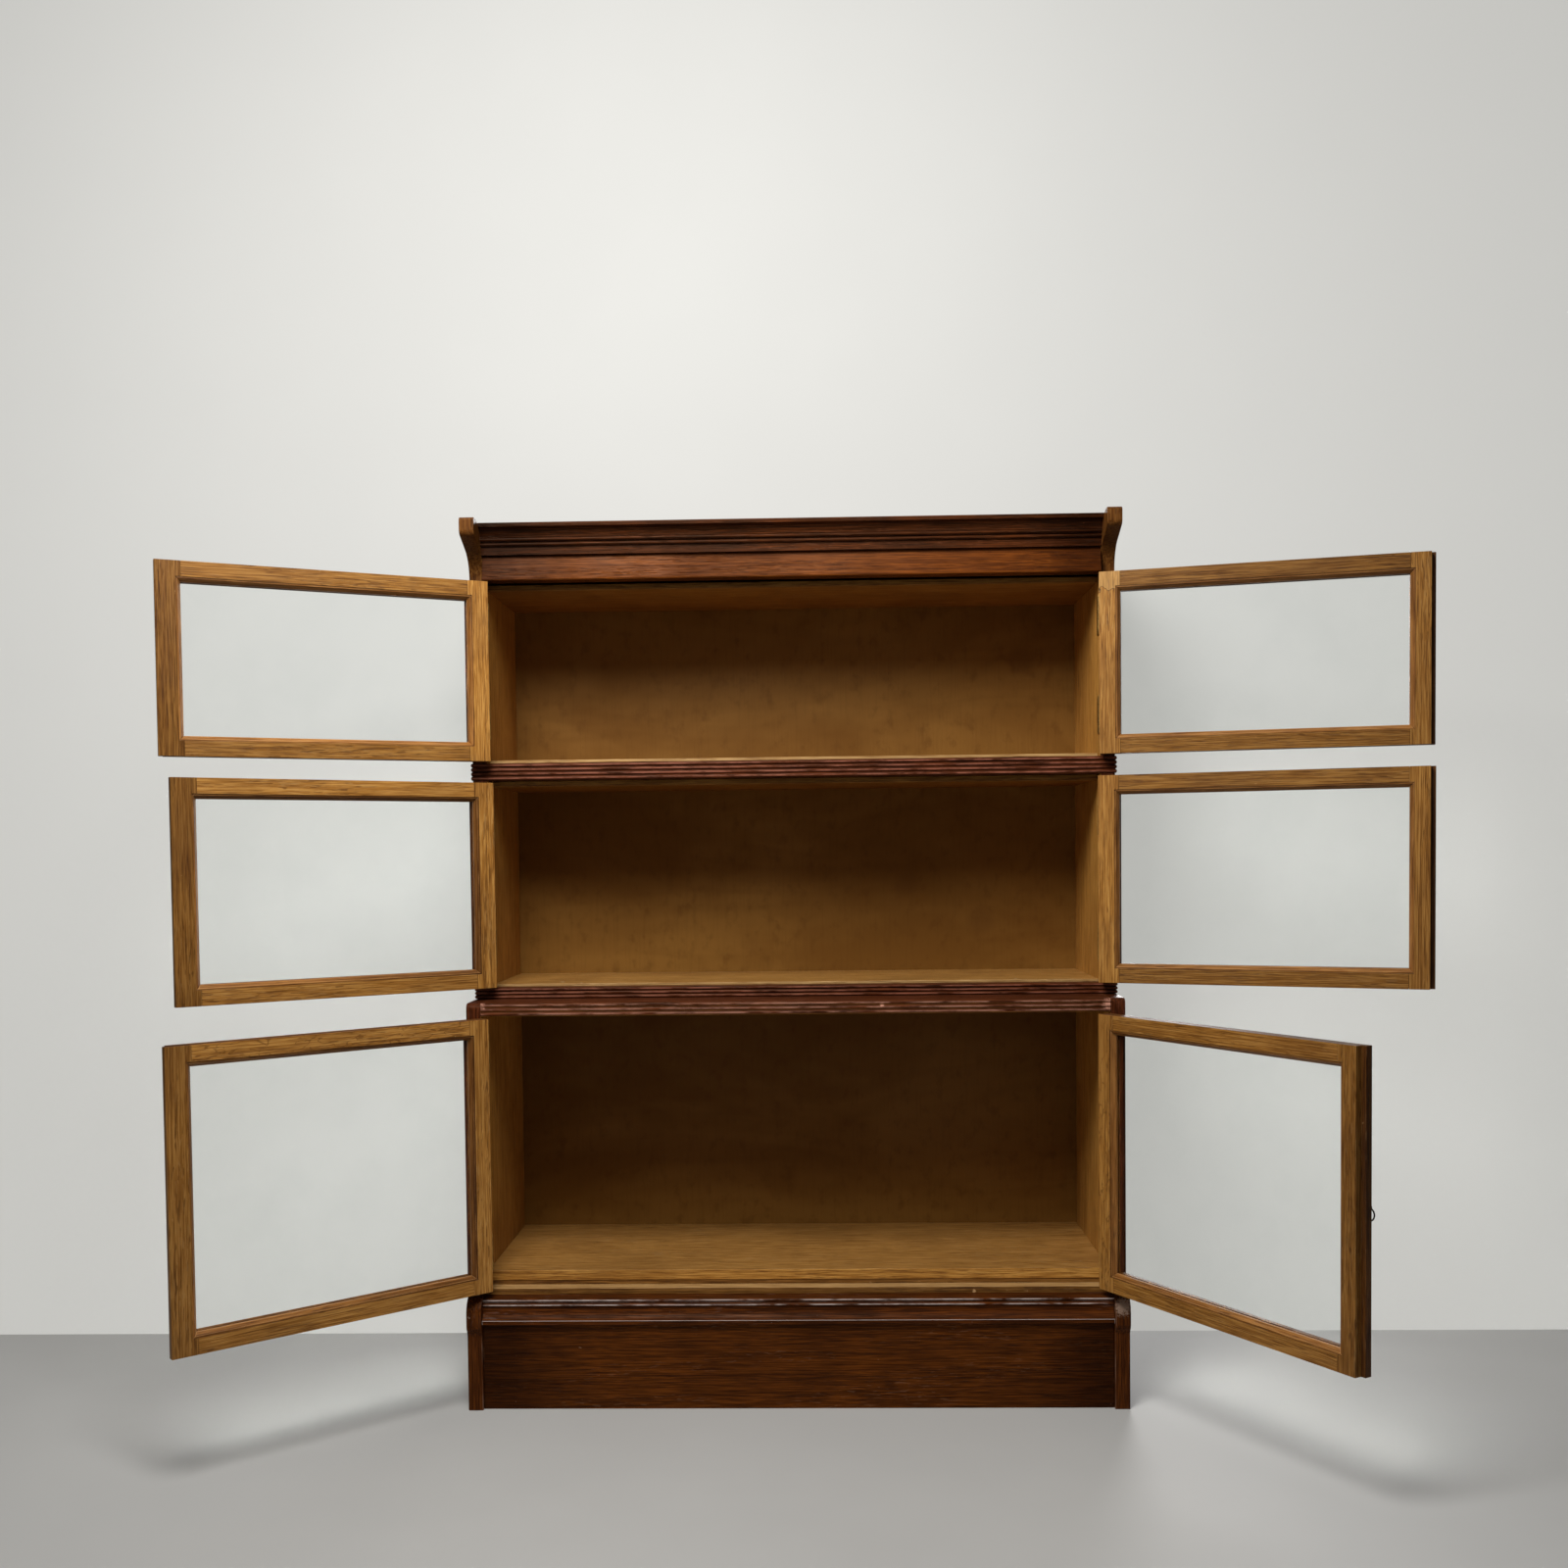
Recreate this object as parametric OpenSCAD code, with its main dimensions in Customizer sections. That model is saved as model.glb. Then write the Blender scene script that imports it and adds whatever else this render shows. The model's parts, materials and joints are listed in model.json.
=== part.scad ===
// Sectional glazed bookcase: three stacked sections, each behind a pair of side-hung glass doors,
// on a plinth and under a scroll-ended cornice.
// Frame: +Z up, the front faces -Y. The origin is on the floor, on the centre plane,
// under the middle of the plinth's back rail.

/* [Case] */
// Width over the side panels
case_w = 886; // [740:2:1063]
// Depth of the upper and middle sections
upper_depth = 225; // [190:1:270]
// How far the lower section stands in front of the other two
lower_step = 67; // [54:1:80]
// Thickness of the sides, rails and plinth parts
board_t = 20; // [17:1:24]
// Thickness of the back panels
back_t = 8; // [6:1:9]

/* [Levels] */
// Height of the plinth
plinth_h = 156; // [130:1:188]
// Height of the lower section
lower_h = 391; // [326:1:470]
// Height of the middle section
middle_h = 303; // [253:1:364]
// Height of the upper section
upper_h = 272; // [227:1:327]
// Height of the cornice at its scroll ends
cornice_h = 78.5; // [74:0.5:94]
// Height of the reeded band under the middle section
middle_band_h = 15.5; // [13:0.5:18.5]
// Height of the reeded band under the upper section
upper_band_h = 24; // [20:0.5:28]
// Height of the reeded ledge that tops the lower section
ledge_h = 18; // [15:0.5:21.5]
// How far the reeds stand out
reed_bulge = 2.2; // [1:0.1:2.5]

/* [Doors] */
// Thickness of a door
door_t = 19; // [17:0.5:22]
// Width of a hinge stile
stile_w = 28; // [24:0.5:34]
// Width of a meeting stile with its lap
meeting_stile_w = 31; // [28:0.5:37]
// Height of the top and bottom door rails
rail_w = 26; // [22:0.5:31]
// Lap of the right door over the left one
lap_w = 6; // [4:0.5:7]
// Clearance along a door's free edges
door_gap = 1.6; // [1.2:0.1:2]
// Thickness of the glass
glass_t = 3; // [2:0.5:4]

/* [Rest angles] */
// Opening of the lower, middle and upper left doors
left_open = [138.7, 144.0, 152.6];
// Opening of the lower, middle and upper right doors
right_open = [121.4, 158.9, 164.4];

/* [Hardware] */
// Radius of a hinge knuckle
knuckle_r = 3; // [2.5:0.1:3.5]
// Length of a hinge
hinge_len = 50; // [42:1:60]
// Radius of the ring pull, to the middle of its wire
ring_r = 7.5; // [6.5:0.1:9]

/* [Hidden] */
$fn = 48;
LOWER = 0;
MIDDLE = 1;
UPPER = 2;
RIGHT = 1;
LEFT = -1;
section_names = ["lower", "middle", "upper"];
overcut = 1;

// Depth positions: the back plane lies half a board behind the origin
y_back = board_t / 2;
y_upper = y_back - upper_depth;
y_lower = y_upper - lower_step;
y_front = [y_lower, y_upper, y_upper];
back_inset = 2;
rebate_depth = back_t + back_inset;
rebate_w = 8;
y_inside = y_back - rebate_depth;
floor_setback = max(door_t + 1, board_t);

// Widths
half_w = case_w / 2;
inner_half_w = half_w - board_t;

// Levels
z_lower = plinth_h;
z_middle = z_lower + lower_h;
z_upper = z_middle + middle_h;
z_cornice = z_upper + upper_h;
z_ledge = z_middle - ledge_h;
z_middle_sides = z_middle + middle_band_h;
z_upper_sides = z_upper + upper_band_h;
moulding_drop = 6;
z_moulding = plinth_h - moulding_drop;
sill_rise = 2.5;
lower_floor_lift = 8;
lower_floor_t = 14;
thin_board_t = 8;
middle_floor_t = 19;
upper_floor_t = 20;
upper_floor_lift = 9;
door_foot_gap = [3.7, 1.5, 1.3];
door_head_gap = [1.5, 4, 1.7];
door_z0 = [z_lower, z_middle_sides, z_upper_sides] + door_foot_gap;
door_z1 = [z_ledge, z_upper, z_cornice] - door_head_gap;

// Doors, drawn about their pivot axis: x runs from the pivot towards the middle, y into the case
joint_gap = 0.15;
hinge_gap = 2;
leaf_t = 0.9;
pivot_x = inner_half_w - hinge_gap / 2;
door_w = pivot_x - hinge_gap / 2 + lap_w / 2 - door_gap / 2;
half_lap_t = door_t / 2;
lap_clearance = 0.8;
glass_rebate = 6;
front_lip_t = 7;
glass_clearance = 0.5;
y_door = knuckle_r;

// Hinges
pin_r = 1.2;
pin_clearance = 0.05;
leaf_w = door_t - 1;
leaf_clearance = 0.3;
tab_overlap = 0.8;
knuckle_gap = 0.3;
hinge_inset = 30;

// Ring pull
rose_r = 7;
rose_t = 1.6;
post_r = 2;
eye_r = 3.2;
eye_len = 3.6;
eye_hole_r = 1.6;
eye_standoff = 14;
post_overlap = 0.6;
wire_r = 0.9;

// Colours
stained = "#4a1f12";
frieze_stain = "#7a3d1c";
plinth_stain = "#351a0f";
honey_oak = "#c08a45";
plywood = "#a9773c";
clear = [0.85, 0.9, 0.9, 0.35];
old_brass = "#9a7b3c";
dark_brass = "#4b3a22";

door_pieces = ["door_frame", "door_beads", "door_glass", "door_hinge_leaves"];
pull_pieces = ["pull_post", "pull_ring"];
case_nodes = [
    "plinth_end_left", "plinth_end_right", "plinth_moulding", "plinth_fascia",
    "lower_side_left", "lower_side_right", "lower_sill", "lower_floor", "lower_back",
    "lower_ledge_top",
    "middle_band", "middle_side_left", "middle_side_right", "middle_floor", "middle_back",
    "middle_top_board",
    "upper_band", "upper_side_left", "upper_side_right", "upper_floor", "upper_back",
    "upper_top_board",
    "cornice_end_left", "cornice_end_right", "crown_moulding", "frieze_board",
    "cornice_top_board", "back_rails", "case_hinge_leaves", "hinge_pins"
];

// ---- Helpers ----

// Points on an arc about a centre, from one angle to another
function arc_points(centre, r, from, to, steps) =
    [for (i = [0:steps])
        let (a = from + (to - from) * i / steps)
        [centre[0] + r * cos(a), centre[1] + r * sin(a)]];

// Draws its children on the right-hand side, or mirrored to the left
module on_side(side) {
    if (side == RIGHT) {
        children();
    } else {
        mirror([1, 0, 0]) children();
    }
}

// Extrudes a (y, z) outline along X between two planes
module extrude_x(x0, x1) {
    translate([x0, 0, 0])
        rotate([90, 0, 90])
            linear_extrude(x1 - x0)
                children();
}

// A level board between the sides
module level_board(y0, z0, z1) {
    translate([-inner_half_w, y0, z0])
        cube([2 * inner_half_w, y_inside - y0, z1 - z0]);
}

// A right-hand side panel with a rebate for the back panel
module side_panel(y0, z0, z1) {
    difference() {
        translate([inner_half_w, y0, z0])
            cube([board_t, y_back - y0, z1 - z0]);
        translate([inner_half_w - overcut, y_inside, z0 - overcut])
            cube([rebate_w + overcut, rebate_depth + overcut, z1 - z0 + 2 * overcut]);
    }
}

// A back panel let into the rebates of both sides
module back_panel(z0, z1) {
    translate([-inner_half_w - rebate_w, y_inside, z0])
        cube([2 * (inner_half_w + rebate_w), back_t, z1 - z0]);
}

// A reeded strip, as an outline in (outward, z): its reeds swell past outward = 0
module reeded_outline(depth, h, reeds) {
    pitch = h / reeds;
    reed_r = (pitch * pitch / 4 + reed_bulge * reed_bulge) / (2 * reed_bulge);
    half_angle = asin(pitch / 2 / reed_r);
    steps = 8;
    reed_points = [
        for (i = [0:reeds - 1], k = [0:steps - 1])
            let (a = half_angle * (2 * k / steps - 1))
            [reed_bulge - reed_r + reed_r * cos(a), (i + 0.5) * pitch + reed_r * sin(a)]
    ];
    polygon(concat([[-depth, 0]], reed_points, [[0, h], [-depth, h]]));
}

// A reeded base frame: mitred front and side strips, and a plain back rail
module reeded_band(z0, h, reeds) {
    length = case_w + 4 * board_t;
    // Front strip, trimmed to 45 degree ends
    intersection() {
        translate([-length / 2, y_upper, z0])
            rotate([90, 0, 90])
                linear_extrude(length)
                    mirror([1, 0]) reeded_outline(board_t, h, reeds);
        translate([0, 0, z0 - overcut])
            linear_extrude(h + 2 * overcut)
                polygon([
                    [-half_w - board_t + joint_gap, y_upper - board_t],
                    [half_w + board_t - joint_gap, y_upper - board_t],
                    [inner_half_w - joint_gap, y_upper + board_t],
                    [-inner_half_w + joint_gap, y_upper + board_t]
                ]);
    }
    // Side strips, each with one 45 degree end
    for (side = [LEFT, RIGHT]) {
        on_side(side)
            intersection() {
                translate([half_w, y_back, z0])
                    rotate([90, 0, 0])
                        linear_extrude(upper_depth + board_t)
                            reeded_outline(board_t, h, reeds);
                translate([0, 0, z0 - overcut])
                    linear_extrude(h + 2 * overcut)
                        polygon([
                            [half_w + board_t, y_upper - board_t],
                            [half_w + board_t, y_back],
                            [inner_half_w, y_back],
                            [inner_half_w, y_upper + board_t]
                        ]);
            }
    }
    translate([-inner_half_w + joint_gap, y_inside, z0])
        cube([2 * (inner_half_w - joint_gap), rebate_depth, h]);
}

// ---- Plinth ----

plinth_end_front = -93;
plinth_nose_front = -99;
plinth_lip_front = -93;
plinth_fascia_front = -87;
plinth_moulding_h = 34;

// Side view of a plinth end: a rounded nose near the top that curves back to an upright front
module plinth_end_outline() {
    nose_r = 26;
    nose_z = plinth_h - nose_r;
    foot_y = y_upper + plinth_end_front;
    nose_y = y_upper + plinth_nose_front;
    turn = 40;
    toe_z = nose_z - 30;
    bend_r = (foot_y - nose_y) / (1 - cos(turn)) / 2;
    bend_z = toe_z + 2 * bend_r * sin(turn);
    polygon(concat(
        [[y_back, 0], [y_back, plinth_h]],
        arc_points([nose_y + nose_r, nose_z], nose_r, 118, 180, 10),
        arc_points([nose_y + bend_r, bend_z], bend_r, 180, 180 + turn, 8),
        arc_points([foot_y - bend_r, toe_z], bend_r, turn, 0, 8),
        [[foot_y, 0]]
    ));
}

module plinth_end(side) {
    color(plinth_stain)
        on_side(side)
            extrude_x(inner_half_w, half_w)
                plinth_end_outline();
}

// Two beads over a cove that sweeps down and out to a thin lip
module plinth_moulding() {
    z0 = z_moulding - plinth_moulding_h;
    back_y = y_lower + 1.5 * board_t;
    lip_y = y_upper + plinth_lip_front;
    lip_t = 2.5;
    neck_y = lip_y + 8;
    cove_r = 17;
    cove_z = z0 + 21;
    bead_r = 2.4;
    bead_drops = [9, 2.6];
    color(plinth_stain)
        extrude_x(-inner_half_w, inner_half_w)
            polygon(concat(
                [[back_y, z0], [lip_y, z0], [lip_y, z0 + lip_t]],
                arc_points([neck_y - cove_r, cove_z], cove_r, -62, 0, 8),
                arc_points([neck_y, z_moulding - bead_drops[0]], bead_r, 270, 90, 8),
                arc_points([neck_y, z_moulding - bead_drops[1]], bead_r, 270, 90, 8),
                [[neck_y + 1, z_moulding], [back_y, z_moulding]]
            ));
}

module plinth_fascia() {
    color(plinth_stain)
        translate([-inner_half_w, y_upper + plinth_fascia_front, 0])
            cube([2 * inner_half_w, board_t, z_moulding - plinth_moulding_h]);
}

// One rail low behind the plinth and one high behind the cornice
module back_rails() {
    color(plinth_stain) {
        translate([-inner_half_w, y_back - board_t, 0])
            cube([2 * inner_half_w, board_t, plinth_h]);
        translate([-inner_half_w, y_back - cornice_board_t, z_cornice])
            cube([2 * inner_half_w, cornice_board_t, cornice_h - crown_drop - cornice_board_t]);
    }
}

// ---- Lower section ----

module lower_side(side) {
    corner_r = 8;
    color(stained)
        on_side(side)
            difference() {
                side_panel(y_lower, z_lower, z_middle);
                // Rounded top front corner
                translate([inner_half_w - overcut, y_lower, z_middle - corner_r])
                    difference() {
                        translate([0, -overcut, 0])
                            cube([board_t + 2 * overcut, corner_r + overcut, corner_r + overcut]);
                        translate([-overcut, corner_r, 0])
                            rotate([0, 90, 0])
                                cylinder(h = board_t + 4 * overcut, r = corner_r);
                    }
            }
}

// A front rail that the doors close over, and the bearer board under the floor
module lower_sill() {
    bearer_y = y_lower + floor_setback + 1;
    z_floor = z_lower + lower_floor_lift;
    color(honey_oak) {
        translate([-inner_half_w, y_lower, z_moulding])
            cube([2 * inner_half_w, floor_setback, z_lower + sill_rise - z_moulding]);
        translate([-inner_half_w, bearer_y, z_moulding])
            cube([2 * inner_half_w, y_back - board_t - bearer_y, z_floor - z_moulding]);
    }
}

module lower_floor() {
    z0 = z_lower + lower_floor_lift;
    color(honey_oak) level_board(y_lower + floor_setback, z0, z0 + lower_floor_t);
}

module lower_back() {
    color(plywood) back_panel(z_lower, z_middle);
}

// The ledge: its front edge carries three reeds
module lower_ledge_top() {
    color(stained)
        extrude_x(-inner_half_w, inner_half_w)
            translate([y_lower, z_ledge])
                mirror([1, 0]) reeded_outline(y_inside - y_lower, ledge_h, 3);
}

// ---- Middle section ----

module middle_band() {
    color(stained) reeded_band(z_middle, middle_band_h, 3);
}

module middle_side(side) {
    color(stained) on_side(side) side_panel(y_upper, z_middle_sides, z_upper);
}

module middle_floor() {
    color(honey_oak)
        level_board(y_upper + floor_setback, z_middle, z_middle + middle_floor_t);
}

module middle_back() {
    color(plywood) back_panel(z_middle_sides, z_upper);
}

module middle_top_board() {
    color(honey_oak) level_board(y_upper + floor_setback, z_upper - thin_board_t, z_upper);
}

// ---- Upper section ----

module upper_band() {
    color(stained) reeded_band(z_upper, upper_band_h, 4);
}

module upper_side(side) {
    color(stained) on_side(side) side_panel(y_upper, z_upper_sides, z_cornice);
}

module upper_floor() {
    z0 = z_upper + upper_floor_lift;
    color(honey_oak) level_board(y_upper + floor_setback, z0, z0 + upper_floor_t);
}

module upper_back() {
    color(plywood) back_panel(z_upper_sides, z_cornice);
}

module upper_top_board() {
    color(honey_oak) level_board(y_upper + floor_setback, z_cornice - thin_board_t, z_cornice);
}

// ---- Cornice ----

crown_y = -32;
crown_drop = 2.8;
crown_h = 40.2;
crown_foot = cornice_h - crown_drop - crown_h;
cornice_board_t = 12;

// Side view of a scroll end: a cove sweeping up and out to a rounded upright nose
module cornice_end_outline() {
    cove_r = 38;
    cove_z = 5.5;
    nose_y = -58;
    nose_r = 9;
    nose_drop = 16.5;
    corner_r = 4;
    fall_r = 12;
    polygon(concat(
        [[y_back - y_upper, 0], [0, 0]],
        arc_points([-cove_r, cove_z], cove_r, 0, 65, 12),
        arc_points([nose_y + nose_r, cornice_h - nose_drop], nose_r, 245, 180, 6),
        arc_points([nose_y + corner_r, cornice_h - corner_r], corner_r, 180, 90, 5),
        arc_points([nose_y + fall_r, cornice_h - fall_r], fall_r, 90, 50, 5),
        [[y_back - y_upper, cornice_h - crown_drop]]
    ));
}

module cornice_end(side) {
    color(stained)
        on_side(side)
            extrude_x(inner_half_w, half_w)
                translate([y_upper, z_cornice])
                    cornice_end_outline();
}

// Overhanging cove with two beads and a plain fillet below it
module crown_moulding() {
    top = cornice_h - crown_drop;
    lip_h = 4;
    cove_r = 13;
    cove_z = top - 18;
    upper_y = -19;
    upper_z = top - 23;
    lower_y = -16.5;
    lower_z = top - 29;
    fillet_y = -14;
    upper_bead_r = 2.3;
    lower_bead_r = 2.1;
    color(stained)
        extrude_x(-inner_half_w, inner_half_w)
            translate([y_upper, z_cornice])
                union() {
                    polygon(concat(
                        [[0, crown_foot], [0, top], [crown_y, top], [crown_y, top - lip_h]],
                        arc_points([crown_y - 2, cove_z], cove_r, 80, 0, 8),
                        [[upper_y, cove_z], [upper_y, upper_z], [lower_y, upper_z],
                         [lower_y, lower_z], [fillet_y, lower_z], [fillet_y, crown_foot]]
                    ));
                    translate([upper_y, upper_z + 2.6]) circle(upper_bead_r);
                    translate([lower_y, lower_z + 2.4]) circle(lower_bead_r);
                }
}

// Sloping frieze with a rounded lower lip
module frieze_board() {
    lip_r = 2.5;
    color(frieze_stain)
        extrude_x(-inner_half_w, inner_half_w)
            translate([y_upper, z_cornice])
                polygon(concat(
                    [[6, 0], [6, crown_foot], [-8, crown_foot], [-12.5, 7]],
                    arc_points([-14.5 + lip_r, lip_r], lip_r, 150, 270, 6)
                ));
}

module cornice_top_board() {
    top = z_cornice + cornice_h - crown_drop;
    color(stained)
        translate([-inner_half_w, y_upper, top - cornice_board_t])
            cube([2 * inner_half_w, upper_depth, cornice_board_t]);
}

// ---- Hinges ----

function hinge_levels(section) = [
    door_z0[section] + hinge_inset,
    door_z1[section] - hinge_inset - hinge_len
];

// One ring of knuckle with the tab that joins it to its leaf; leaf_x is the leaf's outer face
module knuckle(z0, h, leaf_x) {
    difference() {
        union() {
            translate([0, 0, z0])
                cylinder(h = h, r = knuckle_r);
            translate([leaf_x, pin_r + leaf_clearance, z0])
                cube([leaf_t, knuckle_r + tab_overlap - pin_r, h]);
        }
        translate([0, 0, z0 - overcut])
            cylinder(h = h + 2 * overcut, r = pin_r + pin_clearance);
    }
}

module hinge_leaf(z0, leaf_x) {
    translate([leaf_x, knuckle_r + leaf_clearance, z0])
        cube([leaf_t, leaf_w, hinge_len]);
}

// Case leaf with the two outer knuckles, about the pivot axis
module case_leaf(z0) {
    third = hinge_len / 3;
    leaf_x = hinge_gap / 2 - leaf_t;
    union() {
        hinge_leaf(z0, leaf_x);
        knuckle(z0, third - knuckle_gap, leaf_x);
        knuckle(z0 + 2 * third + knuckle_gap, third - knuckle_gap, leaf_x);
    }
}

// Door leaf with the middle knuckle, about the pivot axis
module door_leaf(z0) {
    third = hinge_len / 3;
    leaf_x = -hinge_gap / 2;
    union() {
        hinge_leaf(z0, leaf_x);
        knuckle(z0 + third, third, leaf_x);
    }
}

// Puts children drawn about a pivot axis at a section's right or left pivot, turned open by angle
module at_pivot(section, side, angle) {
    on_side(side)
        translate([pivot_x, y_front[section] - knuckle_r, 0])
            rotate([0, 0, angle])
                children();
}

module case_hinge_leaves() {
    color(old_brass)
        for (section = [LOWER, MIDDLE, UPPER], side = [LEFT, RIGHT], z0 = hinge_levels(section))
            at_pivot(section, side, 0)
                case_leaf(z0);
}

module hinge_pins() {
    color(old_brass)
        for (section = [LOWER, MIDDLE, UPPER], side = [LEFT, RIGHT], z0 = hinge_levels(section))
            at_pivot(section, side, 0)
                translate([0, 0, z0])
                    cylinder(h = hinge_len, r = pin_r);
}

// ---- Doors ----

function open_angle(section, side) = side == RIGHT ? right_open[section] : left_open[section];

// A box in door coordinates: u from the hinge edge, v from the front face, z from the door's foot
module door_box(section, u, v, z) {
    translate([-hinge_gap / 2 - u[1], y_door + v[0], door_z0[section] + z[0]])
        cube([u[1] - u[0], v[1] - v[0], z[1] - z[0]]);
}

module door_at_rest(section, side) {
    at_pivot(section, side, open_angle(section, side))
        children();
}

// Stiles and rails, rebated inside for the glass; the meeting stiles lap
module door_frame(section, side) {
    h = door_z1[section] - door_z0[section];
    u_meet = door_w - meeting_stile_w;
    glass_u = [stile_w - glass_rebate, u_meet + glass_rebate];
    glass_z = [rail_w - glass_rebate, h - rail_w + glass_rebate];
    glass_v = [front_lip_t, door_t + overcut];
    color(honey_oak) door_at_rest(section, side) {
        difference() {
            door_box(section, [0, stile_w], [0, door_t], [0, h]);
            door_box(section, glass_u, glass_v, glass_z);
        }
        difference() {
            door_box(section, [u_meet, door_w], [0, door_t], [0, h]);
            door_box(section, glass_u, glass_v, glass_z);
            meeting_rebate(section, side, h);
        }
        for (z = [[0, rail_w], [h - rail_w, h]]) {
            difference() {
                door_box(section, [stile_w + joint_gap, u_meet - joint_gap], [0, door_t], z);
                door_box(section, glass_u, glass_v, glass_z);
            }
        }
    }
}

// The right door keeps its front half as a lip; the left door keeps its back half behind it
module meeting_rebate(section, side, h) {
    u = [door_w - lap_w, door_w + overcut];
    z = [-overcut, h + overcut];
    if (side == RIGHT) {
        door_box(section, u, [half_lap_t, door_t + overcut], z);
    } else {
        door_box(section, u, [-overcut, half_lap_t + lap_clearance], z);
    }
}

module door_glass(section, side) {
    h = door_z1[section] - door_z0[section];
    inset_u = glass_rebate - glass_clearance;
    color(clear) door_at_rest(section, side)
        door_box(
            section,
            [stile_w - inset_u, door_w - meeting_stile_w + inset_u],
            [front_lip_t, front_lip_t + glass_t],
            [rail_w - inset_u, h - rail_w + inset_u]
        );
}

// Chamfered bead in section: across runs from the frame towards the glass
module bead_outline() {
    foot = front_lip_t + glass_t;
    top = door_t - 1;
    edge_h = 3;
    top_w = 2;
    polygon([
        [0, foot],
        [glass_rebate, foot],
        [glass_rebate, foot + edge_h],
        [top_w, top],
        [0, top]
    ]);
}

// Mitred beads on all four sides of the glass
module door_beads(section, side) {
    h = door_z1[section] - door_z0[section];
    u0 = stile_w - glass_rebate;
    u1 = door_w - meeting_stile_w + glass_rebate;
    z0 = rail_w - glass_rebate;
    z1 = h - rail_w + glass_rebate;
    reach = u1 - u0;
    rise = z1 - z0;
    color(honey_oak) door_at_rest(section, side)
        translate([-hinge_gap / 2 - u0, y_door, door_z0[section] + z0]) {
            bead_run(rise, reach);
            translate([-reach, 0, rise])
                rotate([0, 180, 0])
                    bead_run(rise, reach);
            translate([-reach, 0, 0])
                rotate([0, 90, 0])
                    bead_run(reach, rise);
            translate([0, 0, rise])
                rotate([0, -90, 0])
                    bead_run(reach, rise);
        }
}

// One upright bead, its outer face at x = 0 and its body towards -x, with mitred ends
module bead_run(length, width) {
    tip = min(length, width) / 2 - 1;
    intersection() {
        linear_extrude(length)
            mirror([1, 0]) bead_outline();
        rotate([-90, 0, 0])
            linear_extrude(door_t)
                polygon([
                    [0, -joint_gap],
                    [0, joint_gap - length],
                    [-tip, tip + joint_gap - length],
                    [-tip, -tip - joint_gap]
                ]);
    }
}

module door_hinge_leaves(section, side) {
    color(old_brass) door_at_rest(section, side)
        for (z0 = hinge_levels(section))
            door_leaf(z0);
}

// ---- Ring pulls ----

pull_u = door_w - meeting_stile_w / 2;

module pull_post(section) {
    mid_z = (door_z0[section] + door_z1[section]) / 2;
    color(dark_brass) door_at_rest(section, RIGHT)
        translate([-hinge_gap / 2 - pull_u, y_door, mid_z])
            difference() {
                union() {
                    rotate([90, 0, 0])
                        cylinder(h = rose_t, r = rose_r);
                    rotate([90, 0, 0])
                        cylinder(h = eye_standoff - eye_hole_r - post_overlap, r = post_r);
                    translate([-eye_len / 2, -eye_standoff, 0])
                        rotate([0, 90, 0])
                            cylinder(h = eye_len, r = eye_r);
                }
                translate([-eye_len, -eye_standoff, 0])
                    rotate([0, 90, 0])
                        cylinder(h = 2 * eye_len, r = eye_hole_r);
            }
}

// The ring hangs through the eye
module pull_ring(section) {
    mid_z = (door_z0[section] + door_z1[section]) / 2;
    color(dark_brass) door_at_rest(section, RIGHT)
        translate([-hinge_gap / 2 - pull_u, y_door - eye_standoff, mid_z - ring_r])
            rotate([90, 0, 0])
                rotate_extrude()
                    translate([ring_r, 0])
                        circle(wire_r, $fn = 24);
}

// ---- Nodes ----

plinth_end(LEFT);  // plinth_end_left
plinth_end(RIGHT);  // plinth_end_right
plinth_moulding();
plinth_fascia();
lower_side(LEFT);  // lower_side_left
lower_side(RIGHT);  // lower_side_right
lower_sill();
lower_floor();
lower_back();
lower_ledge_top();
middle_band();
middle_side(LEFT);  // middle_side_left
middle_side(RIGHT);  // middle_side_right
middle_floor();
middle_back();
middle_top_board();
upper_band();
upper_side(LEFT);  // upper_side_left
upper_side(RIGHT);  // upper_side_right
upper_floor();
upper_back();
upper_top_board();
cornice_end(LEFT);  // cornice_end_left
cornice_end(RIGHT);  // cornice_end_right
crown_moulding();
frieze_board();
cornice_top_board();
back_rails();
case_hinge_leaves();
hinge_pins();
for (s = [LOWER, MIDDLE, UPPER], side = [LEFT, RIGHT]) {
    door = str(section_names[s], side == RIGHT ? "_right_" : "_left_");
    door_frame(s, side);
    door_beads(s, side);
    door_glass(s, side);
    door_hinge_leaves(s, side);
}
for (s = [LOWER, MIDDLE, UPPER]) {
    pull_post(s);
    pull_ring(s);
}
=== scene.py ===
"""Looks for a sectional glazed bookcase: eased oak boards, glazed doors, brass hinges and ring pulls."""

import json
import math
import random

import bmesh
import bpy
from mathutils import Matrix, Vector


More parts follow.
